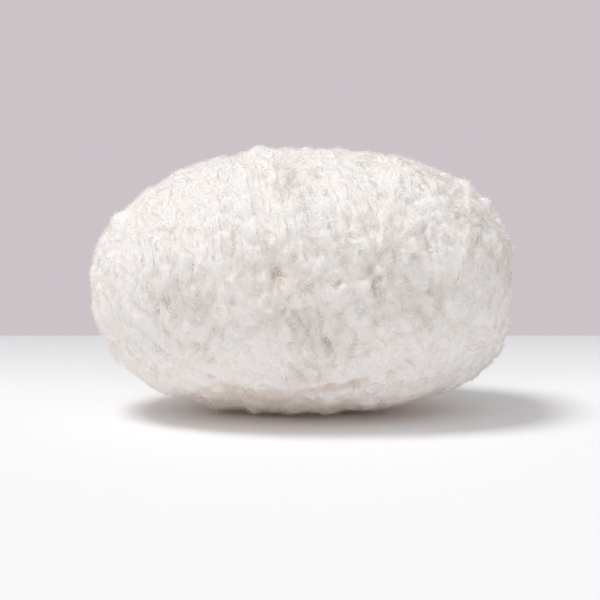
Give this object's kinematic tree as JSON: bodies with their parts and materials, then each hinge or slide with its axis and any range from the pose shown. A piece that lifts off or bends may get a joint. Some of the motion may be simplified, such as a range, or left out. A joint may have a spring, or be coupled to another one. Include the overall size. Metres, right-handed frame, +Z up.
{
  "type": "ball of wool blend yarn",
  "caption": "Oval ball of fluffy white looped wool blend yarn, wound from one strand, lying on its side on a small flat spot.",
  "frame": {"origin": "middle of the ball's bounding box, on the surface that it lies on", "axes": "+X along the ball's long axis, +Y away from the viewer, +Z up"},
  "size_m": [0.1336, 0.0908, 0.0853],
  "materials": {
    "yarn": "matte, fluffy and softly looped"
  },
  "bodies": {
    "root": {"yarn_ball": "yarn"}
  },
  "joints": []
}
